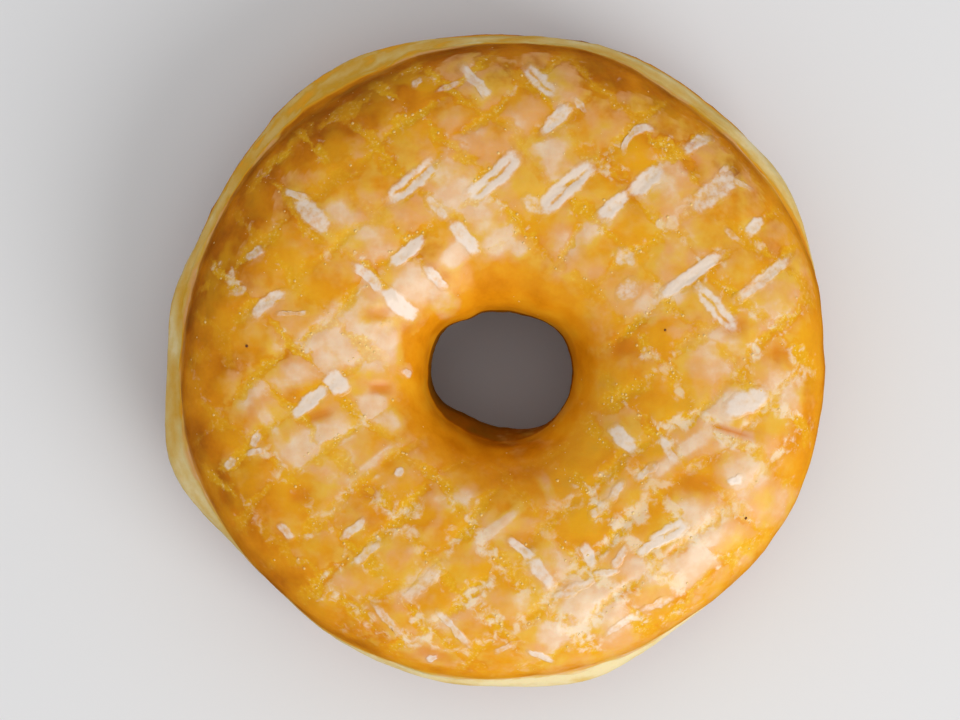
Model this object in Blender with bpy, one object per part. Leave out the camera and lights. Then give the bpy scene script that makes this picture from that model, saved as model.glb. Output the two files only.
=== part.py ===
"""Yeast raised ring doughnut, one solid of fried dough, resting on its flattened underside.

The ring starts as a torus whose vertices are moved to the real section: a domed upper crust, a paler
belt round the middle where the dough was never under the oil, and a lower crust that flattens where it
rests. Each level has its own outline, outside and in the hole, because the dough swelled unevenly.
Units are metres and degrees. The origin is the middle of the underside, +Z up.
"""
import math

import bpy

# Driving sizes of the ring
RING_NAME = "doughnut"
RING_STEPS = 96
BELT_STEPS = 6
DOME_STEPS = 16
SECTION_STEPS = 2 * (BELT_STEPS + DOME_STEPS)

BELT_MIDDLE = 0.0165    # height where the belt swells most
BELT_HALF = 0.0050      # from there to the edge of either crust
UPPER_DOME = 0.0125     # rise of the upper crust above the belt
LOWER_DOME = 0.0125     # drop of the lower crust, more than it has room for, so that it lies flat
ROUNDNESS = 2.25        # exponent of the section's curve: 2 is an ellipse, more is squarer
TOP_WAVES = [(2, 100.0, 0.0003), (3, 20.0, 0.0003)]   # waves round the ring, first crest, height

# Outlines at three levels: centre, mean radius, and lobes as (direction, half-width, height)
UPPER_CENTRE = (0.0007, -0.0004)
UPPER_RADIUS = 0.0496
UPPER_LOBES = [(17.0, 14.0, 0.0005), (55.0, 10.0, -0.0008), (72.0, 12.0, 0.0004), (124.0, 9.0, -0.0009),
               (195.0, 20.0, 0.0012), (238.0, 20.0, 0.0006), (278.0, 12.0, -0.0004),
               (306.0, 16.0, -0.0004), (338.0, 18.0, 0.0007)]
BELT_RADIUS = 0.0504
BELT_LOBES = [(34.0, 16.0, 0.0022), (70.0, 22.0, 0.0016), (117.0, 18.0, 0.0030), (142.0, 17.0, 0.0014),
              (172.0, 13.0, 0.0026), (197.0, 13.0, 0.0048), (252.0, 24.0, 0.0008),
              (285.0, 12.0, 0.0014), (312.0, 14.0, -0.0008)]
LOWER_RADIUS = 0.0506
LOWER_LOBES = [(62.0, 26.0, 0.0022), (121.0, 25.0, 0.0035), (190.0, 28.0, 0.0032),
               (335.0, 50.0, -0.0014)]

# The same three levels inside the hole; a lobe below zero is dough that swells into the hole
HOLE_CENTRE = (0.0003, -0.0020)
UPPER_HOLE = 0.0109
UPPER_HOLE_LOBES = [(56.0, 24.0, -0.0012), (95.0, 24.0, -0.0012), (128.0, 15.0, -0.0010),
                    (160.0, 20.0, 0.0006), (205.0, 28.0, 0.0008), (270.0, 24.0, -0.0002)]
BELT_HOLE = 0.0112
BELT_HOLE_LOBES = [(58.0, 24.0, -0.0013), (96.0, 24.0, -0.0014), (128.0, 16.0, -0.0011),
                   (243.0, 26.0, -0.0026), (278.0, 24.0, -0.0020)]
LOWER_HOLE = 0.0118
LOWER_HOLE_LOBES = [(90.0, 40.0, -0.0010), (255.0, 40.0, -0.0014)]

# Finish of the fried crust
CRUST_COLOUR = (0.56, 0.25, 0.045, 1.0)
CRUST_ROUGHNESS = 0.45


def clear_scene():
    for thing in list(bpy.data.objects):
        bpy.data.objects.remove(thing, do_unlink=True)


def lobe_sum(direction, lobes):
    """How far an outline swells or sinks at a direction, in metres."""
    total = 0.0
    for centre, half_width, height in lobes:
        away = (direction - centre + 180.0) % 360.0 - 180.0
        total += height * math.exp(-((away / half_width) ** 2))
    return total


def reach(turn, centre, radius, lobes):
    """Distance from the ring's axis to an outline, along the direction turn."""
    direction = math.degrees(turn)
    along = centre[0] * math.cos(turn) + centre[1] * math.sin(turn)
    return radius + lobe_sum(direction, lobes) + along


def smooth_step(low, high, value):
    share = min(max((value - low) / (high - low), 0.0), 1.0)
    return share * share * (3.0 - 2.0 * share)


def outline_at(turn, height, centre, upper, belt, lower):
    """An outline's distance at a height: a crust's own, or between the crusts the belt's round swell."""
    share = min(max((height - BELT_MIDDLE) / BELT_HALF, -1.0), 1.0)
    low = reach(turn, centre, *lower)
    high = reach(turn, centre, *upper)
    crust = low + smooth_step(-1.0, 1.0, share) * (high - low)
    swell = 1.0 - share * share
    return crust + swell * (reach(turn, centre, *belt) - crust)


def rounded(value):
    """One coordinate of the section's squared-off quarter curve, from a sine or a cosine."""
    return math.copysign(abs(value) ** (2.0 / ROUNDNESS), value)


def section_point(step):
    """Side, from 1 outside to -1 in the hole, and height of one vertex of the section."""
    half_belt = BELT_STEPS / 2
    half_turn = BELT_STEPS + DOME_STEPS
    belt_rise = BELT_HALF / half_belt
    if step > SECTION_STEPS - half_belt:
        step -= SECTION_STEPS
    if step <= half_belt:
        return 1.0, BELT_MIDDLE + step * belt_rise
    if step < half_belt + DOME_STEPS:
        angle = math.pi * (step - half_belt) / DOME_STEPS
        return rounded(math.cos(angle)), BELT_MIDDLE + BELT_HALF + UPPER_DOME * rounded(math.sin(angle))
    if step <= half_turn + half_belt:
        return -1.0, BELT_MIDDLE - (step - half_turn) * belt_rise
    angle = math.pi * (step - half_turn - half_belt) / DOME_STEPS
    return -rounded(math.cos(angle)), BELT_MIDDLE - BELT_HALF - LOWER_DOME * rounded(math.sin(angle))


def top_wave(turn, height):
    """The upper crust rises and falls a little round the ring."""
    upper_edge = BELT_MIDDLE + BELT_HALF
    share = smooth_step(upper_edge, upper_edge + UPPER_DOME, height)
    wave = sum(rise * math.cos(count * (turn - math.radians(crest))) for count, crest, rise in TOP_WAVES)
    return share * wave


def shaped(turn, step):
    """Place of the vertex at one step of the section and one turn of the ring."""
    side, height = section_point(step)
    outer = outline_at(turn, height, UPPER_CENTRE, (UPPER_RADIUS, UPPER_LOBES),
                       (BELT_RADIUS, BELT_LOBES), (LOWER_RADIUS, LOWER_LOBES))
    inner = outline_at(turn, height, HOLE_CENTRE, (UPPER_HOLE, UPPER_HOLE_LOBES),
                       (BELT_HOLE, BELT_HOLE_LOBES), (LOWER_HOLE, LOWER_HOLE_LOBES))
    middle = (outer + inner) / 2
    distance = middle + side * (outer - inner) / 2
    rise = max(height + top_wave(turn, height), 0.0)
    return distance * math.cos(turn), distance * math.sin(turn), rise


def make_ring():
    """A torus with as many steps as the section needs, each vertex moved to its real place."""
    wide = UPPER_RADIUS
    thick = (UPPER_RADIUS - UPPER_HOLE) / 2
    bpy.ops.mesh.primitive_torus_add(major_segments=RING_STEPS, minor_segments=SECTION_STEPS,
                                     major_radius=wide - thick, minor_radius=thick)
    ring = bpy.context.object
    ring.name = RING_NAME
    ring.data.name = RING_NAME
    for vertex in ring.data.vertices:
        x, y, z = vertex.co
        turn = math.atan2(y, x)
        around = math.atan2(z, math.hypot(x, y) - (wide - thick)) % math.tau
        step = round(around / math.tau * SECTION_STEPS) % SECTION_STEPS
        vertex.co = shaped(turn, step)
    return ring


def stand_on_origin(ring):
    """Move the mesh so that the middle of its underside is the origin."""
    points = [vertex.co.copy() for vertex in ring.data.vertices]
    shift = [(min(p[axis] for p in points) + max(p[axis] for p in points)) / 2 for axis in (0, 1)]
    floor = min(p.z for p in points)
    for vertex in ring.data.vertices:
        vertex.co.x -= shift[0]
        vertex.co.y -= shift[1]
        vertex.co.z -= floor


def fried_crust():
    """Golden brown fried dough."""
    material = bpy.data.materials.new("fried_crust")
    material.use_nodes = True
    shader = material.node_tree.nodes["Principled BSDF"]
    shader.inputs["Base Color"].default_value = CRUST_COLOUR
    shader.inputs["Roughness"].default_value = CRUST_ROUGHNESS
    shader.inputs["Metallic"].default_value = 0.0
    return material


def main():
    clear_scene()
    parts = bpy.data.collections.new("yeast_raised_doughnut")
    bpy.context.scene.collection.children.link(parts)
    ring = make_ring()
    stand_on_origin(ring)
    ring.data.materials.append(fried_crust())
    ring.data.shade_smooth()
    for collection in list(ring.users_collection):
        collection.objects.unlink(ring)
    parts.objects.link(ring)


main()
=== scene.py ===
import math
import random

import bpy
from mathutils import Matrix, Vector, kdtree, noise
from mathutils.bvhtree import BVHTree


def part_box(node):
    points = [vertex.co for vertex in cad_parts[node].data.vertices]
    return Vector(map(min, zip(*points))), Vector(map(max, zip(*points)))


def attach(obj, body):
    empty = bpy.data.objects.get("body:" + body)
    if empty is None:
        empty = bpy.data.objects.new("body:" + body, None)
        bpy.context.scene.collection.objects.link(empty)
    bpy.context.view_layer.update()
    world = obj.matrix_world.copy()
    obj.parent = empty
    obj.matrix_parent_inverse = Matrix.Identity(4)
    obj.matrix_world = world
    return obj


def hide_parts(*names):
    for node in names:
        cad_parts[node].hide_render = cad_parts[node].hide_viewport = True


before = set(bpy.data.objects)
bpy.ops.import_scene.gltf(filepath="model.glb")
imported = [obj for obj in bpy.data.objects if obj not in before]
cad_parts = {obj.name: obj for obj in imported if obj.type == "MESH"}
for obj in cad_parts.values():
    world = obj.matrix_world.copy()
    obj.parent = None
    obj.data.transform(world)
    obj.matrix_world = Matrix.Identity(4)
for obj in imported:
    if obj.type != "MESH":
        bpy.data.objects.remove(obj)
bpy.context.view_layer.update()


# --- The ring of dough ----------------------------------------------------------------------------
# Yeast dough, fried on one side and then turned: two golden crusts and, between them, a pale belt
# that never lay in the oil. The lower crust is dry and finely blistered, the belt soft and matte.
MM = 0.001
HOLE_RADIUS = 10.8 * MM     # middling radius of the hole, for the torus that the meshes start from
UPPER_EDGE = 21.4 * MM      # where the upper crust meets the belt
LOWER_EDGE = 11.6 * MM      # and the lower crust
# The browner side faces away from the window: its extra brown is partly the crust's own and partly painted
# shade.
BROWN_AND_SHADED_SIDE = math.radians(125)   # direction in which the ring is browner
BELT_BAKE, CRUST_BAKE, UNDER_BAKE = 0.105, 0.50, 0.78   # how brown the belt and the two crusts are
BROWN_PLACE, BROWN_REACH = (1 * MM, -15 * MM), 8 * MM   # a browner place beside the hole
# Directions in degrees, and half widths, in which the crust reaches further round the side
UPPER_DEEP = ((340.0, 24.0), (8.0, 16.0), (232.0, 14.0))
LOWER_DEEP = ((56.0, 26.0), (140.0, 26.0))
DOUGH_TURNS = 256           # steps round the ring, the most that a torus can have
DOUGH_STEPS = 196           # steps round its section
COAT = 0.34 * MM            # thickness of the glaze, by which the dough under it lies lower

box_low, box_high = (Vector(corner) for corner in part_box("doughnut"))
centre = (box_low + box_high) / 2
outer_radius = (box_high.x - box_low.x) / 2
ring_radius = (outer_radius + HOLE_RADIUS) / 2
tube_radius = (outer_radius - HOLE_RADIUS) / 2


def pick(piece):
    """Select one object alone and make it the active one."""
    bpy.ops.object.select_all(action="DESELECT")
    piece.select_set(True)
    bpy.context.view_layer.objects.active = piece


def apply_modifier(piece, kind, **settings):
    """Give a piece one modifier and apply it."""
    modifier = piece.modifiers.new(kind, kind)
    for name, value in settings.items():
        setattr(modifier, name, value)
    pick(piece)
    bpy.ops.object.modifier_apply(modifier=modifier.name)


def ease(low, high, value):
    """0 below low, 1 above high, and a smooth rise between."""
    share = min(max((value - low) / (high - low), 0.0), 1.0)
    return share * share * (3.0 - 2.0 * share)


def bell(distance, width):
    """1 at no distance, falling away smoothly over about one width."""
    return math.exp(-((distance / width) ** 2))


def lumps(place, size, seed):
    """Smooth unevenness between about -1 and 1, in lumps of one size; each seed gives another."""
    return 1.6 * noise.noise(place / size + Vector((seed * 7.3, seed * 3.1, seed * 5.7)))


def facing(place, sides):
    """How much a place on the ring's outside faces some directions, each with its half width."""
    direction = math.degrees(math.atan2(place.y, place.x))
    share = sum(bell((direction - side + 180.0) % 360.0 - 180.0, width) for side, width in sides)
    return share * ease(25 * MM, 35 * MM, math.hypot(place.x, place.y))


def above_upper_edge(place):
    """Height over the upper crust's edge, which wanders round the ring and is finely ragged."""
    slow = 0.8 * MM * lumps(Vector((place.x, place.y, 0.0)), 17 * MM, 1)
    slow -= 4.5 * MM * facing(place, UPPER_DEEP)
    return place.z - UPPER_EDGE - slow - 0.25 * MM * lumps(place, 2.2 * MM, 2)


def below_lower_edge(place):
    """Depth under the lower crust's edge, which stands higher where the ring lay deep in the oil."""
    slow = 1.1 * MM * lumps(Vector((place.x, place.y, 0.0)), 14 * MM, 3)
    slow += 5.4 * MM * facing(place, LOWER_DEEP)
    return LOWER_EDGE + slow - place.z + 0.45 * MM * lumps(place, 2.6 * MM, 4)


def bake_and_shade_at(place):
    """How brown the dough is at a place, partly painted shade in the hole and away from the window: 0 on
    the pale belt, 1 where the crust is darkest.
    """
    upper = above_upper_edge(place)
    lower = below_lower_edge(place)
    from_axis = math.hypot(place.x, place.y)
    in_hole = 1.0 - ease(14 * MM, 24 * MM, from_axis)
    turned = math.cos(math.atan2(place.y, place.x) - BROWN_AND_SHADED_SIDE)
    flattened = Vector((place.x / 5.0, place.y / 5.0, place.z))
    belt = BELT_BAKE + 0.095 * turned + 0.07 * lumps(place, 7 * MM, 5) + 0.04 * lumps(place, 1.8 * MM, 6)
    # In the hole the belt is pushed to the darkest brown: a little of the hole wall's own browning, mostly
    # painted shade.
    belt += (0.05 + 0.03 * turned) * lumps(flattened, 1.3 * MM, 17) + 0.90 * in_hole
    patches = lumps(flattened, 1.6 * MM, 18) + 0.5 * lumps(place, 1.3 * MM, 19)
    belt += 0.20 * ease(0.55, 0.95, turned) * ease(0.25, 0.6, patches)
    crust = CRUST_BAKE + 0.04 * turned + 0.08 * lumps(place, 8 * MM, 7) + 0.06 * lumps(place, 3 * MM, 8)
    # Browner towards the outer edge, more on the side away from the window: partly the crust's own
    # browning, partly painted shade.
    crust += (0.14 + 0.09 * turned) * ease(35 * MM, 48 * MM, from_axis)
    # Browner near the hole on the window's side, where the hole's slope faces away from the light: partly
    # painted shade.
    crust += (0.03 - 0.05 * turned) * ease(20 * MM, 13 * MM, from_axis)
    crust += 0.11 * bell(math.hypot(place.x - BROWN_PLACE[0], place.y - BROWN_PLACE[1]), BROWN_REACH)
    # Paler towards the crust's edge: partly the crust fading into the belt, partly painted light that lifts
    # the steep edge's shade.
    crust -= 0.12 * ease(2.6 * MM, 0.4 * MM, upper) * (1.0 - in_hole)
    under = UNDER_BAKE + 0.12 * lumps(place, 8 * MM, 9) + 0.08 * lumps(place, 2.4 * MM, 10)
    shade = belt + ease(-0.3 * MM, 0.5 * MM, upper) * (crust - belt)
    return shade + ease(-0.3 * MM, 0.9 * MM, lower) * (under - shade)


def dough_lift(place):
    """How far the fried surface stands out from the ring's smooth form."""
    upper = above_upper_edge(place)
    lower = below_lower_edge(place)
    on_belt = ease(0.2 * MM, -0.6 * MM, upper) * ease(0.2 * MM, -0.6 * MM, lower)
    stretched = Vector((place.x / 5.0, place.y / 5.0, place.z))
    wrinkles = 0.12 * lumps(stretched, 1.8 * MM, 11) + 0.05 * lumps(place, 1.1 * MM, 12)
    blisters = 0.16 * max(0.0, lumps(place, 2.8 * MM, 13)) ** 2 + 0.05 * lumps(place, 1.5 * MM, 14)
    lift = 0.24 * lumps(place, 15 * MM, 15) + 0.08 * lumps(place, 7 * MM, 16)
    lift += on_belt * wrinkles + ease(0.0, 1.0 * MM, lower) * blisters
    lift += 0.05 * bell(upper - 0.9 * MM, 0.8 * MM) - 0.07 * bell(upper + 0.4 * MM, 0.7 * MM)
    lift += 0.16 * bell(lower - 0.9 * MM, 0.9 * MM) - 0.14 * bell(lower + 0.5 * MM, 0.8 * MM)
    return lift * MM - COAT * ease(-0.8 * MM, 0.6 * MM, upper)


def note(piece, name, values):
    """Store a number or a vector for each vertex of a piece, for its material to read."""
    if isinstance(values[0], Vector):
        attribute = piece.data.attributes.new(name, "FLOAT_VECTOR", "POINT")
        attribute.data.foreach_set("vector", [part for value in values for part in value])
    else:
        attribute = piece.data.attributes.new(name, "FLOAT", "POINT")
        attribute.data.foreach_set("value", values)


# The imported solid, rounded off, is the form that the fine mesh is drawn onto.
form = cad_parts["doughnut"].copy()
form.data = form.data.copy()
bpy.context.scene.collection.objects.link(form)
pick(form)
bpy.ops.object.mode_set(mode="EDIT")
bpy.ops.mesh.select_all(action="SELECT")
bpy.ops.mesh.remove_doubles(threshold=0.01 * MM)
bpy.ops.mesh.tris_convert_to_quads()
bpy.ops.object.mode_set(mode="OBJECT")
apply_modifier(form, "SUBSURF", levels=2, render_levels=2)

bpy.ops.object.select_all(action="DESELECT")
bpy.ops.mesh.primitive_torus_add(major_segments=DOUGH_TURNS, minor_segments=DOUGH_STEPS,
                                 major_radius=ring_radius, minor_radius=tube_radius,
                                 location=(centre.x, centre.y, centre.z))
dough = bpy.context.object
dough.name = "dough_ring"
dough.scale.z = centre.z / tube_radius
bpy.ops.object.transform_apply(location=True, rotation=True, scale=True)
apply_modifier(dough, "SHRINKWRAP", target=form, wrap_method="PROJECT",
               use_negative_direction=True, use_positive_direction=True)
apply_modifier(dough, "SMOOTH", factor=0.5, iterations=4)
bpy.data.objects.remove(form, do_unlink=True)

smooth_places = [vertex.co.copy() for vertex in dough.data.vertices]
outward = [vertex.normal.copy() for vertex in dough.data.vertices]
for vertex, place, normal in zip(dough.data.vertices, smooth_places, outward):
    vertex.co = place + normal * dough_lift(place)
    vertex.co.z = max(vertex.co.z, 0.0)
note(dough, "bake_and_shade", [bake_and_shade_at(place) for place in smooth_places])
pick(dough)
bpy.ops.object.shade_smooth()


def linear(colour):
    """An sRGB hex colour as the linear values that a shader takes."""
    parts = [int(colour[start:start + 2], 16) / 255 for start in (1, 3, 5)]
    return [c / 12.92 if c <= 0.04045 else ((c + 0.055) / 1.055) ** 2.4 for c in parts] + [1.0]


def node(tree, kind, inputs=None, out=0, stops=None, **settings):
    """Add a node with its settings, its inputs' values or links and a ramp's stops; give an output."""
    added = tree.nodes.new("ShaderNode" + kind)
    for name, value in settings.items():
        setattr(added, name, value)
    for name, value in (inputs or {}).items():
        if isinstance(value, bpy.types.NodeSocket):
            tree.links.new(value, added.inputs[name])
        else:
            added.inputs[name].default_value = value
    if stops:
        ramp = added.color_ramp.elements
        while len(ramp) < len(stops):
            ramp.new(1.0)
        for element, (position, colour) in zip(ramp, stops):
            element.position = position
            element.color = linear(colour)
    return added.outputs[out]


def new_material(name):
    """A material with one Principled shader, its tree, and the piece's own coordinates."""
    material = bpy.data.materials.new(name)
    material.use_nodes = True
    tree = material.node_tree
    return material, tree, tree.nodes["Principled BSDF"], node(tree, "TexCoord", out="Object")


BAKE_AND_SHADE_COLOURS = [(0.00, "#EBD9A6"), (0.12, "#E1C072"), (0.28, "#DBA530"), (0.42, "#ECA61E"),
                 (0.54, "#E49310"), (0.66, "#CE7A04"), (0.80, "#A45704"), (1.00, "#82500C")]


def fried_and_shaded_colour(tree, coordinates):
    """The dough's colour, from the pale belt to brown crust, a little mottled; its brown also carries
    painted shade in the hole and away from the window.
    """
    bake_and_shade = node(tree, "Attribute", out="Fac", attribute_name="bake_and_shade")
    coarse = node(tree, "TexNoise", {"Vector": coordinates, "Scale": 1 / (2.5 * MM)})
    fine = node(tree, "TexNoise", {"Vector": coordinates, "Scale": 1 / (0.7 * MM)})
    mottled = node(tree, "Math", {0: coarse, 1: 0.16, 2: bake_and_shade}, operation="MULTIPLY_ADD")
    finer = node(tree, "Math", {0: fine, 1: 0.08, 2: mottled}, operation="MULTIPLY_ADD")
    evened = node(tree, "Math", {0: finer, 1: 0.12}, operation="SUBTRACT")
    return node(tree, "ValToRGB", {"Fac": evened}, stops=BAKE_AND_SHADE_COLOURS)


# Fried yeast dough: a dry skin with a trace of oil, so light goes a little way in and the gloss is
# low. Pores of about half a millimetre and wrinkles of one or two roughen it.
fried_dough, tree, shader, coordinates = new_material("fried_yeast_dough")
tree.links.new(fried_and_shaded_colour(tree, coordinates), shader.inputs["Base Color"])
shader.inputs["Roughness"].default_value = 0.52
shader.inputs["IOR"].default_value = 1.45
shader.inputs["Specular IOR Level"].default_value = 0.2
shader.inputs["Subsurface Weight"].default_value = 0.12
shader.inputs["Subsurface Radius"].default_value = (1.0, 0.55, 0.25)
shader.inputs["Subsurface Scale"].default_value = 1.5 * MM
pores = node(tree, "TexNoise", {"Vector": coordinates, "Scale": 1 / (0.5 * MM), "Detail": 3.0})
wrinkles = node(tree, "TexNoise", {"Vector": coordinates, "Scale": 1 / (1.6 * MM), "Detail": 3.0})
porous = node(tree, "Bump", {"Height": pores, "Strength": 0.5, "Distance": 0.12 * MM})
wrinkled = node(tree, "Bump", {"Height": wrinkles, "Strength": 0.5, "Distance": 0.25 * MM,
                               "Normal": porous})
tree.links.new(wrinkled, shader.inputs["Normal"])
dough.data.materials.append(fried_dough)
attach(dough, "root")
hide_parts("doughnut")


# --- The coat of glaze ----------------------------------------------------------------------------
# Sugar glaze that ran over the hot ring and set: a thin clear coat that runs out near the crust's
# edge, with a few drips, milky where it lies thick, and marked all over by the wire screen.
COAT_TURNS = 256            # steps round the ring, the most that a torus can have
SEEN_ROWS = 166             # rows of the coat's outer face, from the outer edge to the hole's
HIDDEN_ROWS = 12            # rows of its inner face, inside the dough
RIM_ROWS = 5                # rows of its rim, outside and in the hole
RIM = 1.2 * MM              # width of the rim, where the coat runs out
RIM_SINK = 0.12 * MM        # how far the rim's end lies inside the dough
EDGE_SHARE = 0.3            # share of its thickness that the coat has next to the rim
THICKENING = 3.0 * MM       # way from the edge over which it grows to its full thickness
COAT_DEPTH = 0.9 * MM       # how far inside the dough the coat's inner face lies
DRIP_START = 9.0 * MM       # how far above its edge the coat starts to run into a drip

WIRE_PITCH = 7.6 * MM       # from one wire of the screen to the next
WIRE_WIDTH = 0.85 * MM      # half width of a wire's print
WIRE_TURNS = (40.0, -45.0)  # directions of the screen's two sets of wires, in degrees
WIRE_SHIFTS = (-1.7 * MM, 2.6 * MM)
# A set of wires, the one it crosses, and a step, so that over and under alternate along each wire
WIRE_SETS = ((0, 1, 1), (1, 0, 0))
PRINT_DEPTH = 0.26 * MM     # a wire's print, at a knuckle
CELL_SWELL = 0.16 * MM      # rise of the glaze in the middle of a cell between the wires
POOL_SWELL = 0.10 * MM      # and where it is milky
THIN_SINK = 0.22 * MM       # how far it falls at a thin place

# Drips of the coat's edge: direction in degrees, half width and length down the side
DRIPS = [(12, 6.0 * MM, 3.0 * MM), (45, 3.2 * MM, 1.2 * MM), (-16, 9.0 * MM, 5.0 * MM),
         (-41, 6.0 * MM, 3.0 * MM), (76, 4.0 * MM, 1.2 * MM), (128, 5.0 * MM, 1.0 * MM),
         (222, 5.0 * MM, 1.2 * MM)]

# Milky pools in the glaze, in mm and degrees: x, y, length, width, turn, strength
# Pools on slopes that face the window, beside the hole on its far side and out at the lower right, are
# partly painted sheen.
POOLS_AND_SHEENS = [(-12, 11.5, 8, 5.5, -40, 0.9), (-5.5, 16.5, 6, 3.5, 40, 0.8), (-26, 5, 10, 3.5, 40, 0.8),
         (-27, -12.5, 11, 5, 35, 0.8), (-19, 1.5, 9, 6.5, 10, 1.0), (-29.5, -2, 12, 4, 10, 0.6),
         (-17.5, -8.5, 8, 4, -50, 0.8), (30, -24.5, 9, 8, -20, 1.0), (38, -17.4, 7, 5.5, 20, 0.8),
         (37, -12, 5, 2.5, 0, 0.8), (23, -32, 7, 4.5, 0, 0.9), (14.7, -37, 10, 5.5, 20, 0.9),
         (1, 18, 7, 3.5, 30, 0.8), (-7.5, 24, 9, 4.5, 20, 0.5), (-23.5, 22, 6, 3.5, -40, 0.5),
         (16, 20.5, 9, 3.5, 40, 0.6), (25, 9, 9, 5, 30, 0.6), (43.5, -6, 6, 9, 0, 0.5),
         (34, -7.5, 7.5, 4, 30, 0.6), (-6, -21.5, 7, 3, 10, 0.6), (-10.8, -33.2, 10, 3.2, 42, 0.8),
         (6, -36.5, 7.5, 3.5, 10, 0.8), (10, -30, 7.5, 4.5, 0, 0.5), (-8, -39.5, 6, 4, 0, 0.5),
         (30, -30.5, 7.5, 4, 30, 0.6), (27.6, -14.7, 13, 2.2, 38, 0.8), (17, -21, 8, 2.2, 40, 0.7),
         (10, -41, 7, 3.5, 10, 0.8), (44, -22, 7, 5, 60, 0.5), (-6.6, 36.6, 5, 3.5, 40, 0.4),
         (4.7, 37.2, 6.5, 4, 40, 0.45), (1.7, 41.7, 5, 4, 0, 0.4), (-4.2, 33.2, 7, 4, 40, 0.4),
         (9.5, 32.6, 7, 4.5, 40, 0.45), (4, 17.3, 3.5, 3, 40, 0.6), (11.2, 17.9, 6, 3.5, 0, 0.5),
         (-34.6, -3.5, 9.5, 2, 43, 0.6), (-34.1, -9.9, 7, 2, -60, 0.5), (-25.2, -22.8, 6, 2, 35, 0.6),
         (-32.7, 3.3, 4, 4, 0, 0.4), (9.3, -21.7, 9, 1.8, -60, 0.6),
         (-25, -17, 9, 6, 40, 0.4), (-8.5, 9.5, 6, 4.5, -45, 1.0), (27, 17, 10, 8, 30, 0.35),
         (33, 2, 10, 9, 0, 0.35), (-18.4, -15.7, 12, 1.6, 38, 0.7), (0.1, -25.7, 10, 1.6, 38, 0.8),
         (-10.3, -26.6, 8.5, 1.6, 48, 0.6), (13.5, -33.3, 8.5, 1.8, 10, 0.7)]

# Thin places where the crust shows deep orange, listed in the same way
THIN_PLACES = [(43.5, 1, 3, 2.5, 0, 1.0), (20, 2, 3.5, 3, 0, 1.0), (36.5, 5, 3.5, 3, 0, 0.9),
               (-29.5, -20.5, 3, 2.5, 0, 0.9), (-19, -20, 3, 2.5, 0, 0.9), (30, 29.5, 3, 2.5, 0, 0.9),
               (-17.5, -4.5, 3.5, 2, 0, 1.0), (-18, 7, 4, 2, 0, 0.8), (-26.5, -8.5, 3.5, 1.5, 20, 0.9),
               (30.5, -18.5, 6, 3, -10, 0.9), (36.5, -10.8, 8, 1.2, -12, 1.2), (4, -27.5, 5, 3, 0, 0.8),
               (-9, -45, 6, 2, -20, 0.8), (4, -18, 21, 8, -5, 0.28)]


def pool_share(place, pools):
    """How strongly a place is in one of the milky pools, or of the thin places."""
    most = 0.0
    for pool_x, pool_y, length, width, turn, strength in pools:
        away_x = place.x / MM - pool_x
        away_y = place.y / MM - pool_y
        if abs(away_x) > length or abs(away_y) > length or place.z < centre.z:
            continue
        cos, sin = math.cos(math.radians(turn)), math.sin(math.radians(turn))
        along = (away_x * cos + away_y * sin) / (length / 2)
        across = (away_y * cos - away_x * sin) / (width / 2)
        most = max(most, strength * math.exp(-(along ** 4 + across ** 4)))
    return most


def screen_steps(place):
    """Steps across the screen's two sets of wires, whole on a wire, and how clear the print is."""
    flat = Vector((place.x, place.y, 0.0))
    bend = 1.3 * MM * lumps(flat, 13 * MM, 20)
    steps = []
    for turn, shift, seed in zip(WIRE_TURNS, WIRE_SHIFTS, (21, 22)):
        across = place.y * math.cos(math.radians(turn)) - place.x * math.sin(math.radians(turn))
        steps.append((across - shift + bend + 0.5 * MM * lumps(flat, 5 * MM, seed)) / WIRE_PITCH)
    clear = ease(14 * MM, 21 * MM, math.hypot(place.x, place.y)) * ease(25 * MM, 30 * MM, place.z)
    patchy = 0.75 + 0.45 * lumps(flat, 10 * MM, 23)
    return Vector((steps[0], steps[1], clear * min(max(patchy, 0.2), 1.0)))


def screen_print(steps):
    """How deep a wire pressed, and how far inside a cell of the screen a place is, 0 to 1."""
    rows = (round(steps[0]), round(steps[1]))
    deepest = 0.0
    for own, other, odd in WIRE_SETS:
        over = 0.5 + 0.5 * math.cos(math.pi * (steps[other] - rows[own] - odd))
        near = bell((steps[own] - rows[own]) * WIRE_PITCH, WIRE_WIDTH)
        deepest = max(deepest, near * (0.35 + 0.65 * over))
    inside = math.sin(math.pi * steps[0]) ** 2 * math.sin(math.pi * steps[1]) ** 2
    return deepest * steps[2], inside * steps[2]


def outer_edge(turn):
    """How far past the crust's edge the coat reaches at a direction, without its drips."""
    around = Vector((math.cos(turn), math.sin(turn), 0.0))
    return 0.7 * MM + 0.9 * MM * lumps(around, 0.16, 24) + 0.3 * MM * lumps(around, 0.05, 25)


def drip(turn):
    """How much further it runs in the drips."""
    longest = 0.0
    for direction, half_width, length in DRIPS:
        apart = (math.degrees(turn) - direction + 180.0) % 360.0 - 180.0
        aside = abs(math.radians(apart)) * outer_radius / half_width
        longest = max(longest, length * math.exp(-aside ** 2))
    return longest


def hole_edge(turn):
    """How far down the hole's wall the coat reaches at a direction, past the ring's half height."""
    around = Vector((math.cos(turn), math.sin(turn), 0.0))
    return 1.5 * MM + 2.5 * MM * lumps(around, 0.5, 26) + 1.0 * MM * lumps(around, 0.2, 27)


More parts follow.
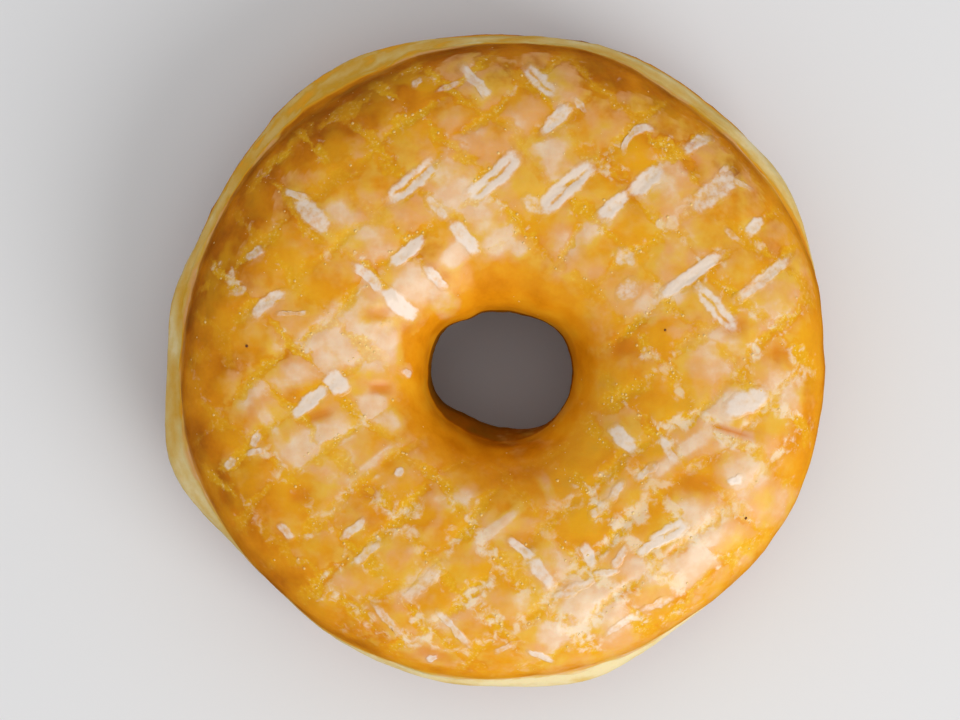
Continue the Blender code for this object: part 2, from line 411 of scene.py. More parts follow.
dough_faces = [list(face.vertices) for face in dough.data.polygons]
dough_surface = BVHTree.FromPolygons([vertex.co for vertex in dough.data.vertices], dough_faces)
edge_angle = math.asin((UPPER_EDGE - centre.z) / tube_radius)
rim_angle = RIM / tube_radius
coat_rows = SEEN_ROWS + HIDDEN_ROWS
bpy.ops.object.select_all(action="DESELECT")
bpy.ops.mesh.primitive_torus_add(major_segments=COAT_TURNS, minor_segments=coat_rows,
                                 major_radius=ring_radius, minor_radius=tube_radius)
coat = bpy.context.object
coat.name = "glaze_coat"


def coat_row(place):
    """Which row of the coat a vertex of the plain torus belongs to, and its direction."""
    turn = math.atan2(place.y, place.x)
    around = math.atan2(place.z, math.hypot(place.x, place.y) - ring_radius) % math.tau
    return round(around / math.tau * coat_rows) % coat_rows, turn


def coat_angle(row, turn):
    """Angle round the tube at which a row of the coat lies, and how much of its rim is risen, which
    is None on the hidden rows."""
    first = edge_angle - outer_edge(turn) / tube_radius
    last = math.pi + hole_edge(turn) / tube_radius
    run = drip(turn) / tube_radius
    if row >= SEEN_ROWS:
        share = 0.5 - 0.5 * math.cos(math.pi * (row - SEEN_ROWS + 1) / (HIDDEN_ROWS + 1))
        return last + share * (first - run - last), None
    from_end = min(row, SEEN_ROWS - 1 - row)
    if from_end < RIM_ROWS:
        inward = rim_angle * from_end / RIM_ROWS
        angle = first - run + inward if row < RIM_ROWS else last - inward
        return angle, math.sin(math.pi / 2 * from_end / RIM_ROWS)
    share = (row - RIM_ROWS) / (SEEN_ROWS - 1 - 2 * RIM_ROWS)
    angle = first + rim_angle + share * (last - first - 2 * rim_angle)
    running = ease(DRIP_START / tube_radius, 0.0, angle - first - rim_angle)
    return angle - run * running, 1.0


def dough_point(turn, angle):
    """Point of the dough's surface, seen from the middle of the tube, and the way out there."""
    cos, sin = math.cos(turn), math.sin(turn)
    way = Vector((cos * math.cos(angle), sin * math.cos(angle), math.sin(angle)))
    start = Vector((cos * ring_radius, sin * ring_radius, centre.z))
    return dough_surface.ray_cast(start, way)[0], way


# Each vertex of the plain torus moves to its place in the coat, and notes what its material reads.
bakes_and_shades, milks_and_sheens, screens, thins, crumblies = [], [], [], [], []
for vertex in coat.data.vertices:
    row, turn = coat_row(vertex.co)
    angle, rim = coat_angle(row, turn)
    point, way = dough_point(turn, angle)
    steps = screen_steps(point)
    pressed, inside = screen_print(steps)
    pool_and_sheen = pool_share(point, POOLS_AND_SHEENS)
    thin = pool_share(point, THIN_PLACES)
    height = -COAT_DEPTH
    from_rim = (angle - edge_angle) * tube_radius + outer_edge(turn) + drip(turn)
    if rim is not None:
        relief = -PRINT_DEPTH * pressed + CELL_SWELL * inside + POOL_SWELL * pool_and_sheen - THIN_SINK * thin
        relief += 0.07 * MM * lumps(point, 4 * MM, 28) + 0.035 * MM * lumps(point, 1.6 * MM, 29)
        full = ease(0.0, THICKENING, from_rim) * ease(-THICKENING, 0.0, above_upper_edge(point))
        share = EDGE_SHARE + (1.0 - EDGE_SHARE) * full
        height = -RIM_SINK + rim * (RIM_SINK + COAT * share + relief * full)
    vertex.co = point + way * height

    # Clouds of milk on the top, most near the hole on the browner side, and a hazy lip at the edge. Part of
    # it is painted sheen, near the hole where its slope faces the window and on the outer slope facing the
    # window; the lip is partly painted light lifting the steep edge's shade.
    from_axis = math.hypot(point.x, point.y)
    toward_brown_shaded_side = math.cos(turn - BROWN_AND_SHADED_SIDE)
    clouds_and_sheen = 0.06 - 0.02 * toward_brown_shaded_side + 0.26 * lumps(point, 8 * MM, 30) + 0.16 * lumps(point, 3.2 * MM, 31)
    clouds_and_sheen += 0.28 * toward_brown_shaded_side * ease(38 * MM, 23 * MM, from_axis)
    clouds_and_sheen += 0.22 * ease(-0.7, -0.97, toward_brown_shaded_side) * ease(38 * MM, 45 * MM, from_axis)
    on_top = ease(47 * MM, 40.5 * MM, from_axis + 4.8 * MM * toward_brown_shaded_side) * ease(13 * MM, 18 * MM, from_axis)
    lip_and_edge_light = bell(above_upper_edge(point) - 0.6 * MM, 1.2 * MM) * ease(-0.6, 0.3, lumps(point, 9 * MM, 32))
    lip_and_edge_light *= ease(25 * MM, 35 * MM, from_axis)
    off_top = (0.36 - 0.31 * ease(-0.7, -0.97, toward_brown_shaded_side)) * (1.0 - on_top)
    milks_and_sheens.append(min(pool_and_sheen + on_top * clouds_and_sheen + 0.8 * lip_and_edge_light - off_top, 1.2))

    # Crumbs of sugar on the paler side, and few of them near the hole
    crumbly = ease(0.4, -0.7, toward_brown_shaded_side) * (1.0 - 1.6 * ease(27 * MM, 18 * MM, from_axis))
    crumblies.append(on_top * (crumbly + 0.5 * lumps(point, 10 * MM, 33)))
    bakes_and_shades.append(bake_and_shade_at(point))
    screens.append(steps)
    thins.append(thin)
note(coat, "bake_and_shade", bakes_and_shades)
note(coat, "milk_and_sheen", milks_and_sheens)
note(coat, "thin", thins)
note(coat, "screen", screens)
note(coat, "crumbly", crumblies)
pick(coat)
bpy.ops.object.shade_smooth()


def screen_veins(tree, coordinates):
    """The wires' print broken up as it is in set glaze, the pale crumbs of sugar along it, a
    milkiness of its own for each cell between the wires, and how clear the print is."""
    steps = node(tree, "Attribute", out="Vector", attribute_name="screen")
    clear = node(tree, "SeparateXYZ", {0: steps}, out=2)
    crumbly = node(tree, "Attribute", out="Fac", attribute_name="crumbly")
    ragged = node(tree, "TexNoise", {"Vector": coordinates, "Scale": 1 / (3.2 * MM), "Detail": 4.0,
                                     "Roughness": 0.6}, out="Color")
    shift = node(tree, "VectorMath", {0: ragged, 1: (0.5, 0.5, 0.5)}, operation="SUBTRACT")
    warped = node(tree, "VectorMath", {0: shift, 1: (0.55, 0.55, 0.55), 2: steps}, operation="MULTIPLY_ADD")
    parts = [node(tree, "SeparateXYZ", {0: warped}, out=part) for part in (0, 1)]
    lines = []
    for own, other, odd in WIRE_SETS:
        row = node(tree, "Math", {0: parts[own]}, operation="ROUND")
        off = node(tree, "Math", {0: parts[own], 1: row}, operation="SUBTRACT")
        away = node(tree, "Math", {0: off}, operation="ABSOLUTE")
        near = node(tree, "MapRange", {"Value": away, "From Min": 0.27, "From Max": 0.0})
        phase = node(tree, "Math", {0: parts[other], 1: row}, operation="SUBTRACT")
        turned = node(tree, "Math", {0: phase, 1: math.pi, 2: -odd * math.pi}, operation="MULTIPLY_ADD")
        wave = node(tree, "Math", {0: turned}, operation="COSINE")
        over = node(tree, "MapRange", {"Value": wave, "From Min": -1.0, "To Min": 0.5})
        lines.append(node(tree, "Math", {0: near, 1: over}, operation="MULTIPLY"))
    line = node(tree, "Math", {0: lines[0], 1: lines[1]}, operation="MAXIMUM")
    narrow = node(tree, "TexNoise", {"Vector": coordinates, "Scale": 1 / (1.3 * MM)})
    broad = node(tree, "TexNoise", {"Vector": coordinates, "Scale": 1 / (5.5 * MM)})
    frayed = node(tree, "Math", {0: narrow, 1: 0.7, 2: line}, operation="MULTIPLY_ADD")
    broken = node(tree, "Math", {0: broad, 1: 1.2, 2: frayed}, operation="MULTIPLY_ADD")
    vein = node(tree, "MapRange", {"Value": broken, "From Min": 1.37, "From Max": 1.71, "To Max": clear},
                interpolation_type="SMOOTHSTEP")
    beside = node(tree, "MapRange", {"Value": line, "From Min": 0.10, "From Max": 0.45, "To Max": clear},
                  interpolation_type="SMOOTHSTEP")
    clumps = node(tree, "TexNoise", {"Vector": coordinates, "Scale": 1 / (4.2 * MM), "Distortion": 1.0})
    bits = node(tree, "TexNoise", {"Vector": coordinates, "Scale": 1 / (1.5 * MM), "Detail": 4.0,
                                   "Roughness": 0.58, "Distortion": 0.4})
    heaped = node(tree, "Math", {0: clumps, 1: 0.8, 2: bits}, operation="MULTIPLY_ADD")
    scattered = node(tree, "Math", {0: crumbly, 1: 0.15, 2: heaped}, operation="MULTIPLY_ADD")
    crumb = node(tree, "MapRange", {"Value": scattered, "From Min": 1.01, "From Max": 1.27,
                                    "To Max": beside}, interpolation_type="SMOOTHSTEP")
    cell = node(tree, "VectorMath", {0: warped}, operation="FLOOR")
    flat_cell = node(tree, "VectorMath", {0: cell, 1: (1.0, 1.0, 0.0)}, operation="MULTIPLY")
    tone = node(tree, "TexWhiteNoise", {"Vector": flat_cell}, noise_dimensions="3D")
    cell_milk = node(tree, "MapRange", {"Value": tone, "To Min": -0.22, "To Max": 0.42})
    border = node(tree, "MapRange", {"Value": frayed, "From Min": 0.65, "From Max": 0.95, "To Max": 0.35},
                  interpolation_type="SMOOTHSTEP")
    plate = node(tree, "Math", {0: cell_milk, 1: border}, operation="SUBTRACT")
    return vein, crumb, node(tree, "Math", {0: plate, 1: clear}, operation="MULTIPLY"), clear


def glazed_colour(tree, coordinates):
    """The crust's colour as it shows through the glaze: yellow along the wires' print, with pale
    crumbs and bright specks that are partly painted glints, milky in the pools, which are partly
    painted sheen where they face the window, deep orange where the glaze is thin."""
    fried_and_shaded = fried_and_shaded_colour(tree, coordinates)
    vein, crumb, plate, clear = screen_veins(tree, coordinates)
    zones = node(tree, "TexNoise", {"Vector": coordinates, "Scale": 1 / (5 * MM)})
    gold = node(tree, "Math", {0: clear, 1: 0.55}, operation="MULTIPLY")
    golden_share = node(tree, "MapRange", {"Value": zones, "From Min": 0.42, "From Max": 0.60,
                                           "To Max": gold}, interpolation_type="SMOOTHSTEP")
    golden = node(tree, "Mix", {"Factor": golden_share, 6: fried_and_shaded, 7: linear("#ECAE18")}, out=2,
                  data_type="RGBA")
    milk_and_sheen = node(tree, "Attribute", out="Fac", attribute_name="milk_and_sheen")
    patchy = node(tree, "TexNoise", {"Vector": coordinates, "Scale": 1 / (2.4 * MM)})
    fine = node(tree, "TexNoise", {"Vector": coordinates, "Scale": 1 / (0.9 * MM)})
    plates = node(tree, "Math", {0: milk_and_sheen, 1: plate}, operation="ADD")
    patches = node(tree, "Math", {0: patchy, 1: 0.80, 2: plates}, operation="MULTIPLY_ADD")
    clouds = node(tree, "Math", {0: fine, 1: 0.20, 2: patches}, operation="MULTIPLY_ADD")
    hazy_share = node(tree, "MapRange", {"Value": clouds, "From Min": 0.34, "From Max": 0.90,
                                         "To Max": 0.76}, interpolation_type="SMOOTHSTEP")
    blush = node(tree, "TexNoise", {"Vector": coordinates, "Scale": 1 / (4.5 * MM)})
    haze = node(tree, "ValToRGB", {"Fac": blush}, stops=[(0.40, "#EBBC4C"), (0.60, "#E9AF72")])
    hazy = node(tree, "Mix", {"Factor": hazy_share, 6: golden, 7: haze}, out=2, data_type="RGBA")
    milky_share = node(tree, "MapRange", {"Value": clouds, "From Min": 0.83, "From Max": 1.37,
                                          "To Max": 0.90}, interpolation_type="SMOOTHSTEP")
    curds = node(tree, "TexNoise", {"Vector": coordinates, "Scale": 1 / (2.6 * MM), "Detail": 3.0})
    cream = node(tree, "ValToRGB", {"Fac": curds}, stops=[(0.35, "#EABF94"), (0.65, "#F0D5B6")])
    milky = node(tree, "Mix", {"Factor": milky_share, 6: hazy, 7: cream}, out=2, data_type="RGBA")
    # Sugar grain in the print, its brightest specks partly painted glints.
    grit = node(tree, "TexNoise", {"Vector": coordinates, "Scale": 1 / (0.55 * MM)})
    grains_and_glints = node(tree, "ValToRGB", {"Fac": grit},
                  stops=[(0.36, "#E6A812"), (0.58, "#EEB824"), (0.72, "#F8D878")])
    vein_share = node(tree, "Math", {0: vein, 1: 0.72}, operation="MULTIPLY")
    yellow = node(tree, "Mix", {"Factor": vein_share, 6: milky, 7: grains_and_glints}, out=2, data_type="RGBA")
    crumb_share = node(tree, "Math", {0: crumb, 1: 0.85}, operation="MULTIPLY")
    crumbly = node(tree, "Mix", {"Factor": crumb_share, 6: yellow, 7: linear("#F3DEBF")}, out=2,
                   data_type="RGBA")
    thin = node(tree, "Attribute", out="Fac", attribute_name="thin")
    thin_share = node(tree, "Math", {0: thin, 1: 0.75}, operation="MULTIPLY", use_clamp=True)
    orange = node(tree, "Mix", {"Factor": thin_share, 6: crumbly, 7: linear("#D97C12")}, out=2,
                  data_type="RGBA")
    return orange, vein, crumb


def glaze_bump(tree, coordinates, vein, crumb):
    """Fine unevenness of set glaze: a faint orange peel, and sugar grain in the print."""
    peel = node(tree, "TexNoise", {"Vector": coordinates, "Scale": 1 / (2.4 * MM), "Detail": 3.0})
    peeled = node(tree, "Bump", {"Height": peel, "Strength": 0.7, "Distance": 0.16 * MM})
    grit = node(tree, "TexNoise", {"Vector": coordinates, "Scale": 1 / (0.45 * MM), "Detail": 3.0})
    grain = node(tree, "Math", {0: grit, 1: vein}, operation="MULTIPLY")
    lower = node(tree, "Math", {0: vein, 1: -0.8, 2: grain}, operation="MULTIPLY_ADD")
    higher = node(tree, "Math", {0: crumb, 1: 0.6, 2: lower}, operation="MULTIPLY_ADD")
    return node(tree, "Bump", {"Height": higher, "Strength": 0.6, "Distance": 0.12 * MM, "Normal": peeled})


# Set sugar glaze: a hard clear shine over the crust, like thin candy, a little waxy under it.
sugar_glaze, tree, shader, coordinates = new_material("set_sugar_glaze")
glazed, vein, crumb = glazed_colour(tree, coordinates)
tree.links.new(glazed, shader.inputs["Base Color"])
tree.links.new(glaze_bump(tree, coordinates, vein, crumb), shader.inputs["Normal"])
shader.inputs["Roughness"].default_value = 0.45
shader.inputs["IOR"].default_value = 1.45
shader.inputs["Specular IOR Level"].default_value = 0.03
shader.inputs["Subsurface Weight"].default_value = 0.12
shader.inputs["Subsurface Radius"].default_value = (1.0, 0.5, 0.2)
shader.inputs["Subsurface Scale"].default_value = 1.0 * MM
shader.inputs["Coat Weight"].default_value = 0.35
shader.inputs["Coat Roughness"].default_value = 0.22
shader.inputs["Coat IOR"].default_value = 1.60
coat.data.materials.append(sugar_glaze)
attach(coat, "root")


# --- The dried sugar marks ------------------------------------------------------------------------
# Where a wire's knuckle pressed deepest, glaze gathered and dried white: short bars, and links where
# it only gathered round the knuckle. Opaque at the middle, they thin out to nothing at the rim.
MARK_HEIGHT = 0.10 * MM
MARK_ROOT = 0.30 * MM       # how far a mark reaches into the coat
MARK_SINK = 0.05 * MM       # how far its rim lies below the coat's surface
MARK_SEGMENTS, MARK_RINGS = 52, 18
MARK_FADE = 1.25            # a mark is this much wider than its white part, and fades out there
MARK_SQUARENESS = 2.8       # exponent of its outline: 2 is an ellipse, more is squarer
MARK_SEED = 40
HALO = 0.30                 # milkiness of the glaze round the whitest marks
HALO_WIDTH = 0.5 * MM
ABOVE_ALL = 60 * MM         # a height above the whole ring

# Marks in mm and degrees: kind, x, y, length, width, turn, bend, whiteness
MARKS = [
    ("link", -12.3, 27.0, 9.4, 2.8, 40, 12, 0.8), ("bar", -27.5, 21.9, 6.7, 3.0, -42, 10, 0.7),
    ("bar", -30.1, 25.0, 3.9, 1.4, -20, 0, 0.6), ("bar", -36.4, 16.2, 3.0, 1.4, 35, 0, 0.6),
    ("bar", -38.4, 10.6, 2.1, 1.1, 35, 0, 0.5), ("bar", -34.6, 8.7, 6.4, 2.0, 42, -60, 0.7),
    ("bar", -30.8, 7.0, 4.5, 0.8, 0, 0, 0.5), ("bar", -13.2, 16.3, 6.4, 2.0, 42, 0, 1.0),
    ("bar", -19.1, 12.5, 6.1, 1.7, -42, 0, 0.7), ("bar", -14.5, 8.4, 6.1, 2.6, -44, 20, 1.0),
    ("bar", -9.0, 12.5, 4.6, 1.5, -45, 0, 0.7), ("bar", -8.7, 23.1, 4.5, 1.4, -48, 0, 0.5),
    ("bar", -4.6, 18.6, 6.1, 2.3, -48, 0, 0.9), ("bar", -2.9, 42.3, 6.7, 1.8, -48, 20, 0.7),
    ("bar", -7.2, 41.5, 3.8, 0.8, 20, 0, 0.5), ("bar", -11.8, 42.2, 1.8, 1.1, 30, 0, 0.6),
    ("link", 7.0, 42.3, 6.4, 2.4, -45, 20, 0.7), ("bar", 9.5, 36.6, 6.1, 2.1, 45, 0, 0.8),
    ("bar", 13.2, 38.5, 3.0, 0.9, -50, 0, 0.5), ("bar", 21.2, 34.6, 7.0, 1.2, 35, -110, 0.7),
    ("bar", 31.0, 33.2, 5.2, 1.8, 30, -50, 0.6), ("link", 0.1, 27.5, 10.0, 3.0, 42, 20, 1.0),
    ("link", 10.9, 26.0, 10.9, 3.1, 42, 0, 1.0), ("bar", 5.9, 23.4, 3.6, 2.4, -45, 0, 0.5),
    ("bar", 23.0, 27.1, 6.1, 2.7, 42, 0, 0.9), ("bar", 18.1, 23.4, 5.8, 2.4, 38, 0, 0.9),
    ("bar", 33.4, 25.5, 8.8, 3.4, 40, 0, 0.6), ("bar", 37.9, 26.8, 3.4, 0.9, -30, 0, 0.5),
    ("bar", 35.1, 28.9, 2.1, 0.9, 60, 0, 0.5), ("bar", 29.6, 12.6, 11.5, 2.0, 35, 0, 1.0),
    ("link", 33.6, 7.8, 9.1, 2.5, -50, 0, 0.8), ("bar", 39.7, 20.3, 3.2, 1.8, 38, 0, 0.8),
    ("bar", 40.9, 12.2, 10.6, 2.0, 38, 0, 0.6), ("bar", 36.3, 18.8, 2.7, 1.1, -40, 0, 0.4),
    ("bar", 20.0, 15.5, 3.3, 2.4, -30, 0, 0.5), ("bar", 20.1, 10.5, 3.9, 2.7, 40, 0, 0.5),
    ("bar", -28.1, -6.4, 6.4, 2.1, 40, 0, 1.0), ("bar", -23.9, -3.6, 3.9, 3.0, -40, 0, 1.0),
    ("bar", 38.3, -6.5, 7.0, 3.3, 25, 0, 0.9), ("bar", 19.6, -12.1, 5.2, 2.3, -48, 0, 0.8),
    ("bar", 26.3, -13.6, 4.5, 1.4, -60, 0, 0.55), ("bar", 23.3, -16.9, 3.9, 1.2, 40, 0, 0.5),
    ("bar", 18.6, -19.9, 3.6, 1.4, 55, 0, 0.5), ("bar", 16.0, -22.7, 3.9, 1.5, 35, 0, 0.5),
    ("bar", 23.9, -28.1, 5.2, 1.4, 35, 0, 0.9), ("link", 26.3, -26.5, 6.1, 2.4, 30, 0, 1.0),
    ("bar", 14.2, -29.6, 3.9, 1.8, -65, 0, 0.7), ("bar", 19.0, -30.1, 4.2, 1.2, 62, 0, 0.55),
    ("bar", 16.9, -32.3, 3.9, 1.2, 10, 0, 0.55), ("bar", 12.2, -34.8, 6.1, 1.4, 25, 0, 0.5),
    ("bar", -36.4, -12.2, 2.4, 1.5, 60, 0, 0.6), ("bar", -36.5, -14.1, 2.4, 0.9, 10, 0, 0.6),
    ("bar", -40.3, -15.9, 2.1, 1.4, 45, 0, 0.6), ("bar", -31.7, -26.1, 3.0, 1.4, -50, 0, 0.6),
    ("bar", -21.3, -25.7, 4.5, 1.5, 42, 0, 0.7), ("bar", -14.5, -17.1, 1.5, 1.2, 0, 0, 0.7),
    ("bar", 7.1, -45.3, 4.0, 0.9, -25, 0, 0.75), ("bar", -9.4, -45.7, 1.8, 1.1, 20, 0, 0.8),
    ("bar", -10.6, -33.8, 8.5, 2.0, 42, 0, 0.35), ("bar", -6.0, -41.1, 7.6, 1.1, -50, 0, 0.65),
    ("bar", 4.1, -28.6, 4.6, 1.5, -42, 0, 0.7), ("bar", -16.3, -39.6, 6.4, 1.2, -52, 0, 0.5),
    ("bar", -19.3, -29.3, 5.2, 1.4, 40, 0, 0.5), ("bar", -13.4, -1.9, 1.5, 1.1, -40, 0, 0.7),
    ("bar", 1.6, -43.9, 3.0, 0.9, 30, 0, 0.4), ("bar", 24.5, -37.4, 5.2, 1.2, 20, 0, 0.5),
    ("bar", 19.2, -40.5, 5.5, 1.2, 35, 0, 0.5), ("bar", 36.6, -18.3, 2.4, 1.4, 30, 0, 0.7),
    ("bar", 7.1, -32.2, 5.4, 2.0, -52, 0, 0.75)]

coat_faces = [list(face.vertices) for face in coat.data.polygons]
coat_surface = BVHTree.FromPolygons([vertex.co for vertex in coat.data.vertices], coat_faces)
coat_tree = kdtree.KDTree(len(coat.data.vertices))
for vertex in coat.data.vertices:
    coat_tree.insert(vertex.co, vertex.index)
coat_tree.balance()
coat_notes = {"bake_and_shade": bakes_and_shades, "milk_and_sheen": milks_and_sheens, "thin": thins, "screen": screens, "crumbly": crumblies}


def on_coat(x, y):
    """The coat's surface straight below a place, and the way out of it there."""
    return coat_surface.ray_cast(Vector((x, y, ABOVE_ALL)), Vector((0, 0, -1)))[:2]


def copy_notes(piece):
    """Give a piece that lies on the coat the coat's own values under each of its vertices."""
    nearest = [coat_tree.find(vertex.co)[1] for vertex in piece.data.vertices]
    for name, values in coat_notes.items():
        note(piece, name, [values[index] for index in nearest])


def on_spine(along, across, turn, bend, length):
    """A place beside a mark's spine, which bends through an angle over its length."""
    flat_x, flat_y = along, across
    if bend:
        radius = length / math.radians(bend)
        flat_x = (radius - across) * math.sin(along / radius)
        flat_y = radius - (radius - across) * math.cos(along / radius)
    cos, sin = math.cos(math.radians(turn)), math.sin(math.radians(turn))
    return flat_x * cos - flat_y * sin, flat_x * sin + flat_y * cos


def sort_faces(piece):
    """Put a piece's faces in one order, because Blender gives a ball's in another order each run."""
    points = [vertex.co.copy() for vertex in piece.data.vertices]
    faces = sorted(list(face.vertices) for face in piece.data.polygons)
    piece.data.clear_geometry()
    piece.data.from_pydata(points, [], faces)


def join(parts, name):
    """Make one smooth piece of several."""
    bpy.ops.object.select_all(action="DESELECT")
    for part in parts:
        part.select_set(True)
    bpy.context.view_layer.objects.active = parts[0]
    bpy.ops.object.join()
    piece = bpy.context.object
    piece.name = name
    bpy.ops.object.shade_smooth()
    return piece


marks = []
for number, (kind, x, y, length, width, turn, bend, whiteness) in enumerate(MARKS):
    seed = MARK_SEED + number
    bpy.ops.object.select_all(action="DESELECT")
    bpy.ops.mesh.primitive_uv_sphere_add(segments=MARK_SEGMENTS, ring_count=MARK_RINGS, radius=1.0)
    mark = bpy.context.object
    sort_faces(mark)
    whites = []
    for vertex in mark.data.vertices:
        out = math.hypot(vertex.co.x, vertex.co.y)
        angle = math.atan2(vertex.co.y, vertex.co.x)
        cos, sin = math.cos(angle), math.sin(angle)
        square = (abs(cos) ** MARK_SQUARENESS + abs(sin) ** MARK_SQUARENESS) ** (-1 / MARK_SQUARENESS)
        rim_place = Vector((length / 2 * cos * square, width / 2 * sin * square, 0.0)) * MM * MARK_FADE
        ragged = 0.30 * MM * lumps(rim_place, 1.6 * MM, seed) + 0.12 * MM * lumps(rim_place, 0.6 * MM, seed)
        along = out * (rim_place.x + ragged * cos)
        across = out * (rim_place.y + ragged * sin)
        side_x, side_y = on_spine(along, across, turn, bend, length * MM)
        hit, normal = on_coat(x * MM + side_x, y * MM + side_y)
        white = whiteness * ease(1.0, 0.50, out) * (0.85 + 0.25 * bell(out - 0.65, 0.2))
        if kind == "link":
            wander = 0.25 * lumps(Vector((along, 0.0, 0.0)), 2.2 * MM, seed + 0.5)
            slit = bell(2 * across / (width * MM) - wander, 0.18)
            white *= 1.0 - 0.85 * slit * ease(0.85, 0.55, abs(2 * along / (length * MM)))
        height = MARK_ROOT * vertex.co.z - MARK_SINK
        if vertex.co.z > 0:
            rough = 1.0 + 0.4 * lumps(hit, 0.9 * MM, seed)
            rise = MARK_HEIGHT * (0.15 + 0.85 * white) * rough
            height = ease(0.0, 0.5, vertex.co.z) * (rise + MARK_SINK) - MARK_SINK
        vertex.co = hit + normal * height
        whites.append(white)
    note(mark, "white", whites)
    marks.append(mark)

# The glaze round a mark is a little milky.
for kind, x, y, length, width, turn, bend, whiteness in MARKS:
    hit = on_coat(x * MM, y * MM)[0]
    cos, sin = math.cos(math.radians(turn)), math.sin(math.radians(turn))
    for place, index, apart in coat_tree.find_range(hit, length * MM):
        away = place - hit
        along = (away.x * cos + away.y * sin) / (length * MM / 2 + HALO_WIDTH)
        across = (away.y * cos - away.x * sin) / (width * MM / 2 + HALO_WIDTH)
        milks_and_sheens[index] = max(milks_and_sheens[index], HALO * whiteness * math.exp(-(along ** 4 + across ** 4)))
coat.data.attributes["milk_and_sheen"].data.foreach_set("value", milks_and_sheens)
for mark in marks:
    copy_notes(mark)
sugar_marks = join(marks, "sugar_marks")

# Dried sugar: fine white crystals, opaque where thick and letting the crust show where thin, with
# the gloss broken by the grain.
dried_sugar, tree, shader, coordinates = new_material("dried_sugar")
white = node(tree, "Attribute", out="Fac", attribute_name="white")
patchy = node(tree, "TexNoise", {"Vector": coordinates, "Scale": 1 / (1.0 * MM)})
fine = node(tree, "TexNoise", {"Vector": coordinates, "Scale": 1 / (0.4 * MM)})
patches = node(tree, "Math", {0: patchy, 1: 1.04, 2: white}, operation="MULTIPLY_ADD")
clouds = node(tree, "Math", {0: fine, 1: 0.32, 2: patches}, operation="MULTIPLY_ADD")
share = node(tree, "MapRange", {"Value": clouds, "From Min": 0.77, "From Max": 1.57, "To Max": 0.90},
             interpolation_type="SMOOTHSTEP")
glazed = glazed_colour(tree, coordinates)[0]
sugary = node(tree, "Mix", {"Factor": share, 6: glazed, 7: linear("#F0DFCF")}, out=2, data_type="RGBA")
tree.links.new(sugary, shader.inputs["Base Color"])
crystals = node(tree, "TexNoise", {"Vector": coordinates, "Scale": 1 / (0.5 * MM), "Detail": 3.0})
grainy = node(tree, "Bump", {"Height": crystals, "Strength": 0.6, "Distance": 0.10 * MM})
tree.links.new(grainy, shader.inputs["Normal"])
shader.inputs["Roughness"].default_value = 0.45
shader.inputs["IOR"].default_value = 1.5
shader.inputs["Specular IOR Level"].default_value = 0.3
shader.inputs["Coat Weight"].default_value = 0.5
shader.inputs["Coat Roughness"].default_value = 0.2
sugar_marks.data.materials.append(dried_sugar)
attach(sugar_marks, "root")


# --- The bubbles in the glaze ---------------------------------------------------------------------
# Tiny bubbles and grains that rose in the wires' print and set there, each a bead of clear sugar a
# quarter of a millimetre or so across. They catch the light as sparkles.
BUBBLES = 1100
BUBBLE_RADII = (0.09 * MM, 0.28 * MM)
BUBBLE_RISE = 0.35          # a bead's height as a share of its width
BUBBLE_LEVEL = 24 * MM      # they lie on the ring's top, above this height
BUBBLE_ASIDE = 0.3          # how far a bead lies beside a vertex of the coat, in mm
STRAY_SHARE = 0.006         # share of them that lies anywhere between the prints

random.seed(11)
bpy.ops.object.select_all(action="DESELECT")
bpy.ops.mesh.primitive_ico_sphere_add(subdivisions=1, radius=1.0)
bubbles = bpy.context.object
bubbles.name = "glaze_bubbles"
bead_points = [vertex.co.copy() for vertex in bubbles.data.vertices]
bead_faces = [list(face.vertices) for face in bubbles.data.polygons]
top_vertices = [vertex.index for vertex in coat.data.vertices if vertex.co.z > BUBBLE_LEVEL]
all_points, all_faces = [], []
while len(all_points) < BUBBLES * len(bead_points):
    index = random.choice(top_vertices)
    pressed = screen_print(screens[index])[0]
    if random.random() > STRAY_SHARE + (1.0 - STRAY_SHARE) * pressed ** 1.5:
        continue
    place = coat.data.vertices[index].co
    aside_x = random.uniform(-BUBBLE_ASIDE, BUBBLE_ASIDE) * MM
    aside_y = random.uniform(-BUBBLE_ASIDE, BUBBLE_ASIDE) * MM
    radius = BUBBLE_RADII[0] + (BUBBLE_RADII[1] - BUBBLE_RADII[0]) * random.random() ** 3
    hit, normal = on_coat(place.x + aside_x, place.y + aside_y)
    turned = normal.to_track_quat("Z", "Y")
    first = len(all_points)
    for point in bead_points:
        low_point = Vector((point.x, point.y, BUBBLE_RISE * point.z))
        all_points.append(hit + turned @ (low_point * radius))
    for face in bead_faces:
        all_faces.append([first + corner for corner in face])
bubbles.data.clear_geometry()
bubbles.data.from_pydata(all_points, [], all_faces)
copy_notes(bubbles)
pick(bubbles)
bpy.ops.object.shade_smooth()

# Clear sugar beads: the glaze's own colour, made lighter as painted light for their sparkle and their
# shaded sides, with a sharp gloss.
bead_sugar, tree, shader, coordinates = new_material("clear_sugar_beads")
glazed = glazed_colour(tree, coordinates)[0]
lighter = node(tree, "Mix", {"Factor": 0.65, 6: glazed, 7: linear("#FAD98E")}, out=2, data_type="RGBA")
tree.links.new(lighter, shader.inputs["Base Color"])
shader.inputs["Roughness"].default_value = 0.3
shader.inputs["Specular IOR Level"].default_value = 0.2
shader.inputs["Coat Weight"].default_value = 0.2
shader.inputs["Coat Roughness"].default_value = 0.12
bubbles.data.materials.append(bead_sugar)
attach(bubbles, "root")


# --- The specks -----------------------------------------------------------------------------------
# Crumbs of burnt dough from the frying oil, each a little under half a millimetre across. They were
# caught in the glaze while it was still wet.
SPECKS = [(-37.6, 2.0, 0.24), (25.9, 4.5, 0.18), (38.4, -24.2, 0.20)]   # x, y and radius in mm
SPECK_SEED = 120

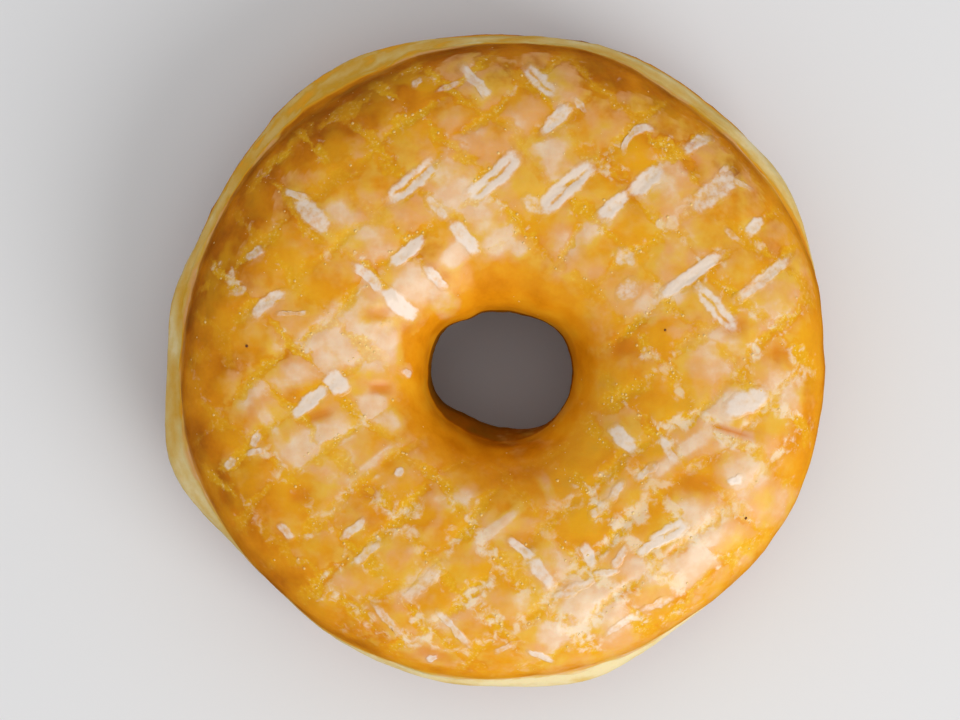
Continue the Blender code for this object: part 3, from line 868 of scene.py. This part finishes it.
specks = []
for number, (x, y, radius) in enumerate(SPECKS):
    hit = on_coat(x * MM, y * MM)[0]
    bpy.ops.object.select_all(action="DESELECT")
    bpy.ops.mesh.primitive_ico_sphere_add(subdivisions=3, radius=radius * MM)
    speck = bpy.context.object
    for vertex in speck.data.vertices:
        uneven = 1.0 + 0.35 * lumps(vertex.co, 0.35 * MM, SPECK_SEED + number)
        vertex.co = hit + vertex.co * uneven
    specks.append(speck)
dough_specks = join(specks, "dough_specks")

# Burnt dough: almost black brown, dry and dull.
burnt_dough, tree, shader, coordinates = new_material("burnt_dough")
char = node(tree, "TexNoise", {"Vector": coordinates, "Scale": 1 / (0.2 * MM)})
shade = node(tree, "ValToRGB", {"Fac": char}, stops=[(0.35, "#5A2E0A"), (0.65, "#8E5216")])
tree.links.new(shade, shader.inputs["Base Color"])
shader.inputs["Roughness"].default_value = 0.7
dough_specks.data.materials.append(burnt_dough)
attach(dough_specks, "root")


# --- The floor, the light and the camera ----------------------------------------------------------
# A pale matte table, one broad soft light low at the lower right, and a weak even fill. Of these
# only the light shows in the glaze's gloss.
bpy.ops.object.select_all(action="DESELECT")
bpy.ops.mesh.primitive_plane_add(size=3.0)
floor = bpy.context.object
floor.name = "table"
table_paint, tree, shader, coordinates = new_material("matte_table_paint")
shader.inputs["Base Color"].default_value = linear("#E8E9EB")
shader.inputs["Roughness"].default_value = 0.8
floor.data.materials.append(table_paint)
floor.visible_glossy = False

world = bpy.data.worlds.new("soft_room")
world.use_nodes = True
world.node_tree.nodes["Background"].inputs["Color"].default_value = linear("#FFFFFF")
world.node_tree.nodes["Background"].inputs["Strength"].default_value = 0.64
world.cycles_visibility.glossy = False
bpy.context.scene.world = world

LIGHT_PLACE = Vector((0.80, -0.80, 0.74))   # in metres
bpy.ops.object.light_add(type="AREA", location=LIGHT_PLACE)
window = bpy.context.object
window.name = "window"
window.data.shape = "DISK"
window.data.size = 1.0
window.data.energy = 11.0
window.data.color = linear("#FFFDFB")[:3]
window.rotation_euler = (-LIGHT_PLACE).to_track_quat("-Z", "Y").to_euler()

CAMERA_PLACE = (-2.17 * MM, -0.08 * MM, 480 * MM)   # straight above, looking down
bpy.ops.object.camera_add(location=CAMERA_PLACE, rotation=(0, 0, 0))
camera = bpy.context.object
camera.data.sensor_width = 36.0
camera.data.lens = 110.4
camera.data.clip_start = 0.01
bpy.context.scene.camera = camera
bpy.context.scene.view_settings.view_transform = "Standard"
